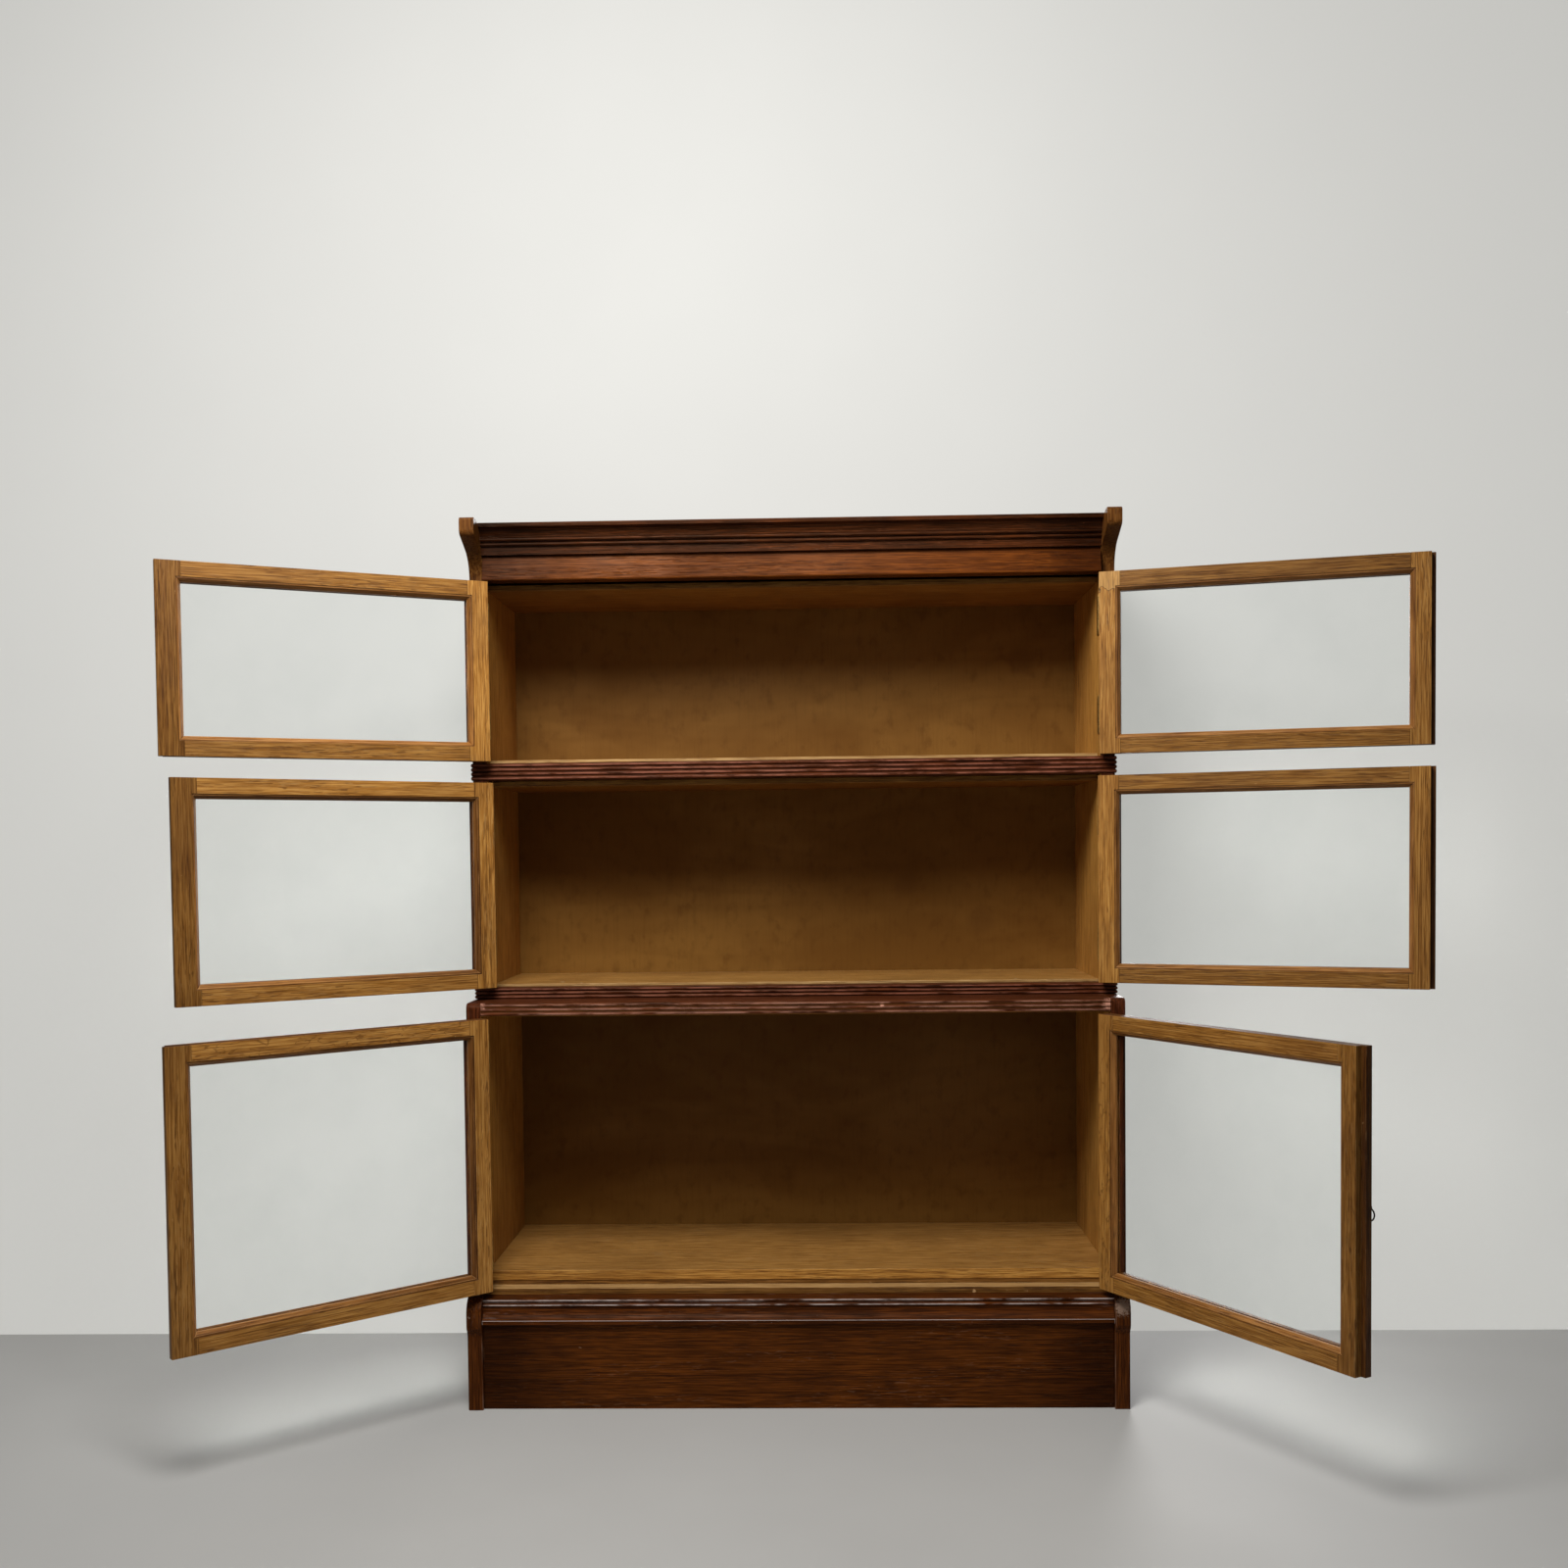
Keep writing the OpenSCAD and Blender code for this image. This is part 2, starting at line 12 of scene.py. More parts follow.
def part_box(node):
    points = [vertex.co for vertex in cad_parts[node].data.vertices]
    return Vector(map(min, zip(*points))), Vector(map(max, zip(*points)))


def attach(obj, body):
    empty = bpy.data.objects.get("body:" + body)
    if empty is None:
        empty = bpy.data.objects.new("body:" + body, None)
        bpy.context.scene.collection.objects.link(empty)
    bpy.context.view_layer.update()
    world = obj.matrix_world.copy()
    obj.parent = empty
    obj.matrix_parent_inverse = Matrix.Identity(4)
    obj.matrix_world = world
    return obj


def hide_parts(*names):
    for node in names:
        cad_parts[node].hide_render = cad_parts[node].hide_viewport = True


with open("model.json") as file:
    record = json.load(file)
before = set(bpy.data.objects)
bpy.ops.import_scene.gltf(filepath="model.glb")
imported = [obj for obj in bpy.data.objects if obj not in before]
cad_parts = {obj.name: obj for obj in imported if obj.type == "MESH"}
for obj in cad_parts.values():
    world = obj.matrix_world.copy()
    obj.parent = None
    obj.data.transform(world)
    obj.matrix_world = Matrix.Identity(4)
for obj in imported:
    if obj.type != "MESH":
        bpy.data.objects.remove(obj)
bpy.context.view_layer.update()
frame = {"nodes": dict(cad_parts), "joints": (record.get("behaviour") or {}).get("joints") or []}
nodes = frame["nodes"]
random.seed(20)

SECTIONS = ("lower", "middle", "upper")
SIDES = ("left", "right")
X, Y, Z = Vector((1, 0, 0)), Vector((0, 1, 0)), Vector((0, 0, 1))

# Mesh clean-up: how near two points are one, and how flat two faces are one, in degrees
WELD = 2e-6
FLAT = 0.6
# The material number that marks a rounded edge while a piece is built
EASED = 9
# A stile's share of its door's reach, from the hinge and from the free edge
STILE_SHARE = 0.12


# ---- Camera ----

def make_camera():
    """A level-ish view from just left of the middle, with the optical axis turned by three small angles."""
    yaw, pitch, roll = 0.025, 0.036, -0.011
    ahead = Vector((-math.sin(yaw) * math.cos(pitch), math.cos(yaw) * math.cos(pitch), -math.sin(pitch)))
    level = Vector((math.cos(yaw), math.sin(yaw), 0))
    upright = level.cross(ahead)
    right = math.cos(roll) * level + math.sin(roll) * upright
    up = math.cos(roll) * upright - math.sin(roll) * level
    data = bpy.data.cameras.new("camera")
    data.sensor_width = 36
    data.lens = 35.45
    data.shift_y = 0.0803
    camera = bpy.data.objects.new("camera", data)
    camera.matrix_world = Matrix((right, up, -ahead)).transposed().to_4x4()
    camera.location = (0.0398, -2.3494, 0.7437)
    bpy.context.scene.collection.objects.link(camera)
    bpy.context.scene.camera = camera


# ---- Shader graphs ----

class Graph:
    """Short calls for building one material's nodes."""

    def __init__(self, name):
        self.material = bpy.data.materials.new(name)
        self.material.use_nodes = True
        self.tree = self.material.node_tree
        self.tree.nodes.clear()
        self.out = self.node("ShaderNodeOutputMaterial")
        self.shader = self.node("ShaderNodeBsdfPrincipled")
        self.tree.links.new(self.shader.outputs[0], self.out.inputs["Surface"])

    def node(self, kind, **settings):
        n = self.tree.nodes.new(kind)
        for key, value in settings.items():
            setattr(n, key, value)
        return n

    def feed(self, socket, value):
        if isinstance(value, bpy.types.NodeSocket):
            self.tree.links.new(value, socket)
        elif isinstance(value, tuple) and len(value) == 3 and socket.type == "RGBA":
            socket.default_value = (*value, 1)
        else:
            socket.default_value = value

    def set(self, **values):
        """Sets the shader's own sockets; an underscore stands for a space."""
        for key, value in values.items():
            self.feed(self.shader.inputs[key.replace("_", " ")], value)

    def attribute(self, name, vector=True):
        n = self.node("ShaderNodeAttribute", attribute_name=name)
        return n.outputs["Vector" if vector else "Fac"]

    def math(self, operation, a, b=0.0):
        n = self.node("ShaderNodeMath", operation=operation)
        self.feed(n.inputs[0], a)
        self.feed(n.inputs[1], b)
        return n.outputs[0]

    def scaled(self, vector, factors):
        n = self.node("ShaderNodeVectorMath", operation="MULTIPLY")
        self.feed(n.inputs[0], vector)
        n.inputs[1].default_value = factors
        return n.outputs[0]

    def moved(self, vector, offset):
        n = self.node("ShaderNodeVectorMath", operation="ADD")
        self.feed(n.inputs[0], vector)
        self.feed(n.inputs[1], offset)
        return n.outputs[0]

    def noise(self, vector, scale=1.0, detail=4.0, rough=0.55, distort=0.0):
        n = self.node("ShaderNodeTexNoise")
        self.feed(n.inputs["Vector"], vector)
        n.inputs["Scale"].default_value = scale
        n.inputs["Detail"].default_value = detail
        n.inputs["Roughness"].default_value = rough
        n.inputs["Distortion"].default_value = distort
        return n.outputs["Fac"]

    def cells(self, vector, scale=1.0):
        n = self.node("ShaderNodeTexVoronoi")
        self.feed(n.inputs["Vector"], vector)
        n.inputs["Scale"].default_value = scale
        return n.outputs["Distance"]

    def ramp(self, value, low, high, start=0.0, end=1.0):
        """value's stretch from low to high, as a smooth step from start to end."""
        n = self.node("ShaderNodeMapRange", interpolation_type="SMOOTHSTEP")
        self.feed(n.inputs["Value"], value)
        n.inputs["From Min"].default_value = low
        n.inputs["From Max"].default_value = high
        n.inputs["To Min"].default_value = start
        n.inputs["To Max"].default_value = end
        return n.outputs[0]

    def mix(self, factor, a, b, mode="MIX"):
        n = self.node("ShaderNodeMix", data_type="RGBA", blend_type=mode)
        self.feed(n.inputs["Factor"], factor)
        self.feed(n.inputs[6], a)
        self.feed(n.inputs[7], b)
        return n.outputs[2]

    def bump(self, height, distance, strength=1.0):
        n = self.node("ShaderNodeBump")
        n.inputs["Strength"].default_value = strength
        n.inputs["Distance"].default_value = distance
        self.feed(n.inputs["Height"], height)
        return n.outputs[0]


def lin(red, green, blue):
    """A colour given as 0-255 display values, as linear light."""
    return tuple(((c / 255 + 0.055) / 1.055) ** 2.4 if c > 10 else c / 3294 for c in (red, green, blue))


# ---- Materials ----

def wood(
    name, pale, mid, dark, wear_and_highlight_tone, fleck=0.5, rough=0.42, figure=0.4, grime=0.3, tint=None, scuffs=(),
    grime_and_shade_ends=0, crack=0, waves=0,
):
    """Oak in board coordinates: metres along the grain, across it and into the board.

    pale, mid and dark are the tones of the grain, and wear_and_highlight_tone is the tone of rubbed edges and
    of the painted highlights along some of them.
    scuffs holds a place and a radius for each patch of bare, chipped wood. Where grime_and_shade_ends is
    given, the wood darkens towards that distance on either side of the middle of the case: grime, and
    painted shade where the end pieces shade it. crack is the height of a jagged crack, with newer and
    paler wood above it. waves is how dark the wavy figure of a quarter-sawn board is.
    """
    g = Graph(name)
    board = g.attribute("grain")
    arris = g.attribute("arris", vector=False)
    shade = g.attribute("shade", vector=False)

    # Growth rings are contour lines of a long, slow noise, over three sizes of straight streak
    wander = g.noise(g.scaled(board, (1.5, 13.0, 9.0)), 1.0, 2.0, 0.5, 0.3)
    rings = g.ramp(g.math("PINGPONG", g.math("MULTIPLY", wander, 17.0), 0.5), 0.05, 0.45)
    streaks = g.noise(g.scaled(board, (13.0, 600.0, 440.0)), 1.0, 2.0, 0.65)
    fine = g.noise(g.scaled(board, (30.0, 1300.0, 1000.0)), 1.0, 2.0, 0.6)
    wide = g.noise(g.scaled(board, (1.3, 40.0, 30.0)), 1.0, 3.0, 0.6, 0.2)
    tone = g.math("ADD", g.math("MULTIPLY", rings, 0.16 * figure), g.ramp(streaks, 0.28, 0.72, 0.0, 0.44))
    tone = g.math("ADD", tone, g.ramp(fine, 0.26, 0.74, 0.0, 0.36))
    tone = g.math("ADD", tone, g.math("MULTIPLY", wide, 0.22))
    middle = 0.54 + 0.08 * figure
    colour = g.mix(g.ramp(tone, middle - 0.24, middle + 0.04), pale, mid)
    colour = g.mix(g.ramp(tone, middle + 0.02, middle + 0.40), colour, dark)

    # Open pores: short dark dashes along the grain
    pores = g.noise(g.scaled(board, (40.0, 900.0, 700.0)), 1.0, 2.0, 0.5)
    pore_field = g.noise(g.scaled(board, (3.0, 60.0, 60.0)), 1.0, 2.0, 0.5)
    pore = g.math("MULTIPLY", g.ramp(pores, 0.55, 0.66), g.ramp(pore_field, 0.36, 0.58))
    colour = g.mix(g.math("MULTIPLY", pore, 0.6), colour, dark)

    # Medullary rays: dark dashes a little askew to the grain, and pale flakes, both in patches
    askew = g.node("ShaderNodeVectorRotate", rotation_type="Z_AXIS")
    g.feed(askew.inputs["Vector"], board)
    askew.inputs["Angle"].default_value = 0.05
    ray_patch = g.noise(g.scaled(board, (4.5, 24.0, 20.0)), 1.0, 2.0, 0.5)
    dashes = g.noise(g.scaled(askew.outputs[0], (42.0, 400.0, 250.0)), 1.0, 1.0, 0.5, 0.5)
    ray = g.math("MULTIPLY", g.ramp(dashes, 0.60, 0.66), g.ramp(ray_patch, 0.44, 0.56))
    flake = g.noise(g.scaled(board, (60.0, 420.0, 300.0)), 1.0, 1.0, 0.5, 0.6)
    flake = g.math("MULTIPLY", g.ramp(flake, 0.60, 0.68), g.ramp(ray_patch, 0.44, 0.62))
    colour = g.mix(g.math("MULTIPLY", ray, fleck), colour, dark)
    colour = g.mix(g.math("MULTIPLY", flake, 0.4 * fleck), colour, wear_and_highlight_tone)

    if waves:
        ripple = g.noise(g.scaled(askew.outputs[0], (26.0, 95.0, 60.0)), 1.0, 2.0, 0.5, 0.8)
        edge = g.math("ABSOLUTE", g.math("SUBTRACT", ripple, 0.53))
        colour = g.mix(g.ramp(edge, 0.006, 0.026, waves, 0.0), colour, dark)

    # Uneven stain and handling grime
    cloud = g.noise(board, 7.0, 3.0, 0.55)
    colour = g.mix(g.ramp(cloud, 0.42, 0.68, 0.0, grime), colour, dark)
    place = g.node("ShaderNodeTexCoord").outputs["Object"]
    if crack:
        apart = g.node("ShaderNodeSeparateXYZ")
        g.feed(apart.inputs[0], place)
        jag = g.math("MULTIPLY", g.math("SUBTRACT", g.noise(place, 110.0, 1.0, 0.5), 0.5), 0.026)
        above = g.math("SUBTRACT", g.math("ADD", apart.outputs["Z"], jag), crack)
        colour = g.mix(g.ramp(above, -0.0003, 0.0003, 0.0, 0.35), colour, wear_and_highlight_tone)
        gap = g.ramp(g.math("ABSOLUTE", above), 0.0003, 0.0009, 0.9, 0.0)
        colour = g.mix(gap, colour, (0.02, 0.01, 0.005))
    # Painted shade, with some grime: the wood darkens towards both ends of the case.
    if grime_and_shade_ends:
        apart = g.node("ShaderNodeSeparateXYZ")
        g.feed(apart.inputs[0], place)
        uneven = g.math("MULTIPLY", g.noise(place, 9.0, 3.0, 0.6), 0.12)
        reach = g.math("ADD", g.math("ABSOLUTE", apart.outputs["X"]), uneven)
        shade = g.math("MAXIMUM", shade, g.ramp(reach, grime_and_shade_ends - 0.07, grime_and_shade_ends + 0.04, 0.0, 0.85))
    # The shade attribute darkens the colour: board tones, and painted shade on some pieces.
    colour = g.mix(shade, colour, (0.30, 0.25, 0.20), "MULTIPLY")

    # Rubbed edges with painted highlights along some of them, small knocks and scuffs
    rub = g.noise(g.scaled(board, (21.0, 60.0, 60.0)), 1.0, 4.0, 0.65)
    rubbed_and_highlit = g.ramp(g.math("MULTIPLY", arris, g.math("ADD", rub, 0.45)), 0.76, 0.98)
    rubbed_and_highlit = g.math("MULTIPLY", rubbed_and_highlit, g.ramp(arris, 0.70, 1.20, 0.35, 0.90))
    knocks = g.ramp(g.noise(g.scaled(board, (90.0, 190.0, 190.0)), 1.0, 2.0, 0.5), 0.765, 0.79, 0.0, 0.3)
    rubbed_and_highlit = g.math("MAXIMUM", rubbed_and_highlit, knocks)
    for centre, radius in scuffs:
        apart = g.node("ShaderNodeVectorMath", operation="DISTANCE")
        g.feed(apart.inputs[0], place)
        apart.inputs[1].default_value = centre
        ragged = g.math("MULTIPLY", g.noise(place, 420.0, 4.0, 0.7), 2.2 * radius)
        bare = g.ramp(g.math("ADD", apart.outputs["Value"], ragged), 1.45 * radius, 2.05 * radius, 1.0, 0.0)
        rubbed_and_highlit = g.math("MAXIMUM", rubbed_and_highlit, bare)
    colour = g.mix(rubbed_and_highlit, colour, wear_and_highlight_tone)

    gloss = g.ramp(streaks, 0.3, 0.7, rough - 0.05, rough + 0.05)
    gloss = g.math("ADD", gloss, g.math("MULTIPLY", rubbed_and_highlit, 0.25))
    gloss = g.math("ADD", gloss, g.ramp(cloud, 0.4, 0.65, -0.05, 0.07))
    relief = g.math("SUBTRACT", g.math("MULTIPLY", streaks, 0.35), g.math("MULTIPLY", pore, 0.7))
    relief = g.math("SUBTRACT", relief, g.math("MULTIPLY", rubbed_and_highlit, 0.5))
    g.set(Base_Color=colour, Roughness=gloss, Normal=g.bump(relief, 0.0004, 0.7))
    g.set(Specular_IOR_Level=0.09 if tint else 0.15)
    if tint:
        g.set(Specular_Tint=tint)
    return g.material


def plywood(name):
    """Rotary-cut veneer: soft blotches, long slow figure and small water marks."""
    g = Graph(name)
    board = g.attribute("grain")
    cloud = g.noise(g.scaled(board, (2.4, 4.6, 4.0)), 1.0, 4.0, 0.6, 0.4)
    swirl = g.noise(g.scaled(board, (2.2, 9.0, 6.0)), 1.0, 3.0, 0.6, 0.8)
    bands = g.ramp(g.math("PINGPONG", g.math("MULTIPLY", swirl, 5.0), 0.5), 0.02, 0.5)
    fine = g.noise(g.scaled(board, (330.0, 16.0, 200.0)), 1.0, 3.0, 0.6)
    mottle = g.noise(g.scaled(board, (60.0, 40.0, 40.0)), 1.0, 3.0, 0.6)
    colour = g.mix(g.ramp(cloud, 0.36, 0.66), lin(140, 98, 42), lin(117, 77, 27))
    colour = g.mix(g.math("MULTIPLY", bands, 0.16), colour, lin(106, 66, 19))
    colour = g.mix(g.ramp(fine, 0.46, 0.72, 0.0, 0.14), colour, lin(92, 55, 14))
    colour = g.mix(g.ramp(mottle, 0.50, 0.75, 0.0, 0.4), colour, lin(96, 58, 16))
    stain = g.ramp(g.cells(g.moved(board, (0.3, 0.1, 0.0)), 5.5), 0.05, 0.16, 0.30, 0.0)
    colour = g.mix(stain, colour, lin(84, 47, 14))
    # The shade attribute darkens the veneer: painted shade, used on the lower back.
    colour = g.mix(g.attribute("shade", vector=False), colour, lin(60, 32, 10))
    relief = g.math("ADD", g.math("MULTIPLY", fine, 0.5), g.math("MULTIPLY", mottle, 0.4))
    g.set(
        Base_Color=colour,
        Roughness=g.ramp(cloud, 0.3, 0.7, 0.46, 0.60),
        Normal=g.bump(relief, 0.0003, 0.6),
        Specular_IOR_Level=0.10,
    )
    return g.material


def glass(name):
    """Thin clear sheet that lets light through to its shadow, with a faint film of dust."""
    g = Graph(name)
    coords = g.node("ShaderNodeTexCoord").outputs["Object"]
    film = g.noise(coords, 9.0, 4.0, 0.6)
    smear = g.noise(g.scaled(coords, (40.0, 40.0, 7.0)), 1.0, 3.0, 0.6)
    g.set(
        Base_Color=g.mix(g.ramp(film, 0.3, 0.8), (0.97, 0.985, 0.98), (0.93, 0.95, 0.945)),
        Roughness=g.ramp(smear, 0.4, 0.75, 0.0, 0.035),
        Normal=g.bump(g.noise(coords, 14.0, 1.0, 0.4), 0.0002, 0.15),
        Transmission_Weight=1.0,
        IOR=1.05,
    )
    clear = g.node("ShaderNodeBsdfTransparent")
    clear.inputs["Color"].default_value = (0.93, 0.95, 0.94, 1)
    path = g.node("ShaderNodeLightPath")
    pick = g.node("ShaderNodeMixShader")
    g.feed(pick.inputs[0], path.outputs["Is Shadow Ray"])
    g.feed(pick.inputs[1], g.shader.outputs[0])
    g.feed(pick.inputs[2], clear.outputs[0])
    g.feed(g.out.inputs["Surface"], pick.outputs[0])
    return g.material


def metal(name, bright, tarnish, deep, rough, metallic=0.9):
    """Aged brass: tarnish in blotches, darker in the pitted spots, with fine scratches."""
    g = Graph(name)
    coords = g.node("ShaderNodeTexCoord").outputs["Object"]
    cloud = g.noise(coords, 90.0, 4.0, 0.65)
    pits = g.noise(coords, 900.0, 3.0, 0.6)
    scratch = g.noise(g.scaled(coords, (2600.0, 2600.0, 120.0)), 1.0, 2.0, 0.6)
    colour = g.mix(g.ramp(cloud, 0.40, 0.62), bright, tarnish)
    colour = g.mix(g.ramp(pits, 0.52, 0.66, 0.0, 0.8), colour, deep)
    relief = g.math("ADD", g.math("MULTIPLY", pits, 0.7), g.math("MULTIPLY", scratch, 0.3))
    g.set(
        Base_Color=colour,
        Metallic=metallic,
        Roughness=g.ramp(cloud, 0.35, 0.7, rough, rough + 0.22),
        Normal=g.bump(relief, 0.0002, 0.5),
    )
    return g.material


WARM = (1.0, 0.70, 0.50)
left_end, right_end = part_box("plinth_end_left"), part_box("plinth_end_right")
plinth_scuffs = (
    (Vector((right_end[1].x - 0.010, right_end[0].y + 0.003, 0.139)), 0.015),
    (Vector((left_end[0].x + 0.004, left_end[0].y + 0.002, 0.128)), 0.003),
)
sill_scuffs = ((Vector((0.239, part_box("lower_sill")[0].y, 0.1525)), 0.0028),)
case_half = right_end[0].x
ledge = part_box("lower_ledge_top")
ledge_scuffs = (
    (Vector((ledge[1].x - 0.003, ledge[0].y + 0.003, ledge[0].z + 0.010)), 0.010),
    (Vector((ledge[0].x + 0.003, ledge[0].y + 0.003, ledge[0].z + 0.014)), 0.006),
    (Vector((0.118, ledge[0].y + 0.001, ledge[0].z + 0.012)), 0.004),
)
floor_scuffs = (
    (Vector((-0.33, -0.17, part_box("middle_floor")[1].z)), 0.004),
    (Vector((-0.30, -0.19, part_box("middle_floor")[1].z)), 0.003),
    (Vector((0.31, -0.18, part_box("middle_floor")[1].z)), 0.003),
)
honey_tones = (lin(190, 138, 70), lin(158, 106, 44), lin(92, 54, 18), lin(202, 160, 100))
HONEY = wood("honey_oak", *honey_tones, 0.6, 0.46)
MENDED = wood("mended_oak", *honey_tones, 0.6, 0.46, crack=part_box("upper_right_door_frame")[1].z - 0.024)
WAVY = wood(
    "wavy_oak", lin(190, 138, 70), lin(160, 108, 46), lin(92, 54, 18), lin(202, 160, 100), 0.6, 0.46,
    waves=0.6,
)
STAINED = wood(
    "stained_oak", lin(92, 45, 22), lin(64, 29, 13), lin(28, 11, 5), lin(168, 104, 82), 0.3, 0.36, tint=WARM
)
LEDGE = wood(
    "ledge_oak", lin(98, 50, 26), lin(70, 33, 15), lin(30, 12, 5), lin(188, 134, 112), 0.3, 0.36, tint=WARM,
    scuffs=ledge_scuffs,
)
FLOOR = wood(
    "floor_oak", lin(182, 134, 72), lin(154, 108, 50), lin(98, 62, 24), lin(206, 180, 140), 0.3, 0.46,
    scuffs=floor_scuffs,
)
SCROLL = wood(
    "scroll_oak", lin(116, 74, 32), lin(88, 50, 18), lin(44, 22, 7), lin(172, 124, 70), 0.4, 0.38,
    tint=WARM,
)
FRIEZE = wood(
    "frieze_oak", lin(116, 60, 16), lin(88, 42, 9), lin(48, 20, 4), lin(150, 92, 42), 0.5, 0.44, tint=WARM,
    grime_and_shade_ends=case_half,
)
PLINTH = wood(
    "plinth_stain", lin(96, 48, 14), lin(66, 30, 7), lin(34, 13, 4), lin(232, 216, 208), 0.2, 0.42, tint=WARM
)
PLINTH_END = wood(
    "plinth_end_stain", lin(100, 52, 16), lin(70, 33, 8), lin(34, 13, 4), lin(150, 124, 106), 0.2, 0.42,
    tint=WARM, scuffs=plinth_scuffs,
)
FASCIA = wood(
    "fascia_stain", lin(104, 54, 14), lin(74, 36, 8), lin(36, 15, 4), lin(180, 140, 110), 0.3, 0.42,
    tint=WARM, grime_and_shade_ends=case_half,
)
CROWN = wood(
    "crown_oak", lin(84, 42, 18), lin(56, 27, 10), lin(28, 12, 4), lin(172, 110, 76), 0.3, 0.36, tint=WARM,
    grime_and_shade_ends=case_half,
)
SIDE = wood("side_oak", lin(204, 150, 74), lin(178, 124, 54), lin(110, 66, 22), lin(196, 146, 88), 0.25, 0.48)
LINING = wood(
    "lining_oak", lin(160, 110, 48), lin(134, 88, 34), lin(84, 48, 16), lin(168, 118, 62), 0.25, 0.5
)
BEAD = wood("bead_oak", lin(176, 122, 64), lin(146, 94, 42), lin(70, 36, 14), lin(196, 146, 90), 0.2, 0.42)
EDGE = wood("edge_oak", lin(126, 80, 34), lin(98, 58, 22), lin(48, 24, 9), lin(190, 150, 108), 0.2, 0.46)
SILL = wood(
    "sill_oak", lin(150, 104, 50), lin(120, 78, 32), lin(64, 36, 14), lin(202, 160, 110), 0.2, 0.46,
    scuffs=sill_scuffs,
)
RAW = wood("raw_oak", lin(196, 158, 104), lin(172, 132, 80), lin(118, 82, 42), lin(206, 172, 120), 0.3, 0.52)
PLY = plywood("plywood")
GLASS = glass("glass")
BRASS = metal("hinge_brass", lin(176, 140, 78), lin(112, 84, 44), lin(46, 34, 20), 0.30)
DARK_BRASS = metal("dark_brass", lin(52, 40, 25), lin(32, 24, 15), lin(14, 11, 8), 0.46, 0.5)


# ---- Boards ----

def islands(bm):
    """The connected pieces of a mesh, as lists of faces."""
    left, found = set(bm.faces), []
    while left:
        seed = min(left, key=lambda f: f.index)
        stack, members = [seed], {seed}
        while stack:
            for edge in stack.pop().edges:
                for other in edge.link_faces:
                    if other not in members:
                        members.add(other)
                        stack.append(other)
        left -= members
        found.append(sorted(members, key=lambda f: f.index))
    return sorted(found, key=lambda faces: faces[0].index)


def clean_copy(node):
    """A node's mesh with its seams welded and its flat faces whole."""
    bm = bmesh.new()
    bm.from_mesh(nodes[node].data)
    bmesh.ops.remove_doubles(bm, verts=bm.verts, dist=WELD)
    bmesh.ops.dissolve_limit(
        bm, angle_limit=math.radians(FLAT), use_dissolve_boundaries=False, verts=bm.verts, edges=bm.edges
    )
    bm.normal_update()
    return bm


def eased(bm, width, segments=2, sharp=32):
    """Rounds every edge sharper than `sharp` degrees, and marks the new faces as eased."""
    for face in bm.faces:
        face.material_index = 0
    hard = [
        e for e in bm.edges
        if len(e.link_faces) == 2 and e.calc_face_angle(0) > math.radians(sharp)
    ]
    bmesh.ops.bevel(
        bm, geom=hard, offset=width, offset_type="OFFSET", segments=segments, profile=0.5,
        affect="EDGES", clamp_overlap=True, material=EASED, loop_slide=True,
    )
    bm.normal_update()


def board_axes(points, local):
    """A board's own axes among the three local ones: longest first, thinnest last."""
    spans = sorted(
        ((max(p.dot(a) for p in points) - min(p.dot(a) for p in points)), i, a) for i, a in enumerate(local)
    )
    return [a for _, _, a in reversed(spans)]


def build(name, node, finish, width=0.0009, local=(X, Y, Z), along=None, shade=None, sharp=32, rub=None):
    """A piece that stands for a CAD node: eased edges, board coordinates and a material for each face.

    finish(centre, normal) gives a face's material, shade(point, middle) how dark the stain is, with painted
    shade on some pieces, and rub(centre, normal, eased) how rubbed a face is, with painted highlight on
    some pieces: nothing shows under 0.5, and all of it over 1.5.
    """
    bm = clean_copy(node)
    eased(bm, width, sharp=sharp)
    bm.faces.ensure_lookup_table()
    bm.faces.index_update()
    bm.verts.index_update()
    grain = bm.verts.layers.float_vector.new("grain")
    arris = bm.faces.layers.float.new("arris")
    depth = bm.verts.layers.float.new("shade")
    used = []
    for faces in islands(bm):
        points = sorted({v for f in faces for v in f.verts}, key=lambda v: v.index)
        axes = board_axes([v.co for v in points], local)
        if along is not None:
            axes = [along] + [a for a in axes if a is not along]
        offset = Vector((random.uniform(0, 40), random.uniform(0, 9), random.uniform(0, 9)))
        middle = sum((v.co for v in points), Vector()) / len(points)
        for v in points:
            p = v.co - middle
            v[grain] = Vector([p.dot(a) for a in axes]) + offset
            v[depth] = shade(v.co, middle) if shade else 0.0
    for face in bm.faces:
        is_eased = face.material_index == EASED
        centre = face.calc_center_median()
        face[arris] = rub(centre, face.normal, is_eased) if rub else 0.8 * is_eased
        material = finish(centre, face.normal)
        if material not in used:
            used.append(material)
        face.material_index = used.index(material)
        face.smooth = True
    mesh = bpy.data.meshes.new(name)
    bm.to_mesh(mesh)
    bm.free()
    for material in used:
        mesh.materials.append(material)
    mesh.set_sharp_from_angle(angle=math.radians(40))
    piece = bpy.data.objects.new(name, mesh)
    bpy.context.scene.collection.objects.link(piece)
    flat = piece.modifiers.new("flat faces", "WEIGHTED_NORMAL")
    flat.keep_sharp = True
    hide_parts(node)
    return piece


def one(material):
    return lambda centre, normal: material


# ---- The case ----

inner_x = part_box("lower_floor")[1].x


def case_piece(name, node, finish, slot, **options):
    piece = build(name, node, finish, **options)
    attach(piece, "case")
    return piece


def side_finish(centre, normal):
    """Golden inside, stained on the front edge and outside."""
    inner = normal.x * centre.x < 0 and abs(normal.x) > 0.7
    return SIDE if inner else STAINED


